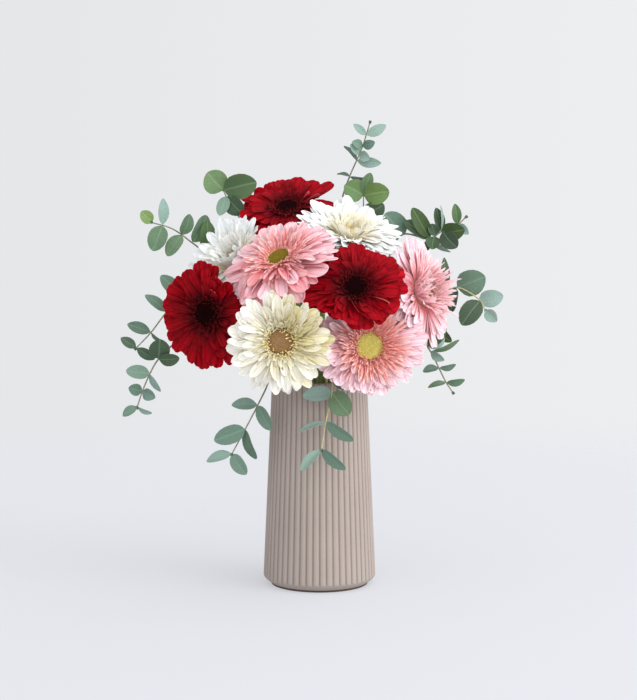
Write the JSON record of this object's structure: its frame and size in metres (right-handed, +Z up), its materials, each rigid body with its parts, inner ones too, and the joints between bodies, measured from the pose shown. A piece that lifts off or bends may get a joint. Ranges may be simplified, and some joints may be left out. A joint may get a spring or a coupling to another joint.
{
  "type": "gerberas in a vase",
  "caption": "Gerberas and eucalyptus sprays standing in water in a tapered, finely ribbed ceramic vase.",
  "frame": {"origin": "centre of the vase's flat foot, on the table", "axes": "+Z up along the vase's axis; -Y towards the front of the bouquet, the side that the picture shows; +X to the right as one faces it"},
  "size_m": [0.3772, 0.2562, 0.4633],
  "materials": {
    "ceramic": "matte",
    "water": "polished",
    "stem": "satin",
    "leaf": "matte",
    "red_petal": "matte",
    "pink_petal": "matte",
    "white_petal": "matte",
    "cream_petal": "matte",
    "red_disc": "matte",
    "pink_disc": "matte",
    "white_disc": "matte",
    "cream_disc": "matte"
  },
  "bodies": {
    "root": {"vase": "ceramic", "water": "water", "gerbera_cream_front_stem": "stem", "gerbera_cream_front_petals": "cream_petal", "gerbera_cream_front_disc": "cream_disc", "gerbera_pink_centre_stem": "stem", "gerbera_pink_centre_petals": "pink_petal", "gerbera_pink_centre_disc": "pink_disc", "gerbera_red_centre_stem": "stem", "gerbera_red_centre_petals": "red_petal", "gerbera_red_centre_disc": "red_disc", "gerbera_pink_front_stem": "stem", "gerbera_pink_front_petals": "pink_petal", "gerbera_pink_front_disc": "pink_disc", "gerbera_red_left_stem": "stem", "gerbera_red_left_petals": "red_petal", "gerbera_red_left_disc": "red_disc", "gerbera_pink_right_stem": "stem", "gerbera_pink_right_petals": "pink_petal", "gerbera_pink_right_disc": "pink_disc", "gerbera_white_top_stem": "stem", "gerbera_white_top_petals": "white_petal", "gerbera_white_top_disc": "white_disc", "gerbera_white_left_stem": "stem", "gerbera_white_left_petals": "white_petal", "gerbera_white_left_disc": "white_disc", "gerbera_red_top_stem": "stem", "gerbera_red_top_petals": "red_petal", "gerbera_red_top_disc": "red_disc", "gerbera_white_back_stem": "stem", "gerbera_white_back_petals": "white_petal", "gerbera_white_back_disc": "white_disc", "gerbera_pink_back_stem": "stem", "gerbera_pink_back_petals": "pink_petal", "gerbera_pink_back_disc": "pink_disc", "gerbera_red_back_stem": "stem", "gerbera_red_back_petals": "red_petal", "gerbera_red_back_disc": "red_disc", "eucalyptus_top": "leaf", "eucalyptus_upper_left": "leaf", "eucalyptus_left": "leaf", "eucalyptus_side_left": "leaf", "eucalyptus_low_left": "leaf", "eucalyptus_front_left": "leaf", "eucalyptus_front": "leaf", "eucalyptus_low_right": "leaf", "eucalyptus_right": "leaf", "eucalyptus_upper_right": "leaf", "eucalyptus_upper_back": "leaf", "eucalyptus_back_hanging": "leaf", "eucalyptus_back": "leaf"}
  },
  "joints": []
}
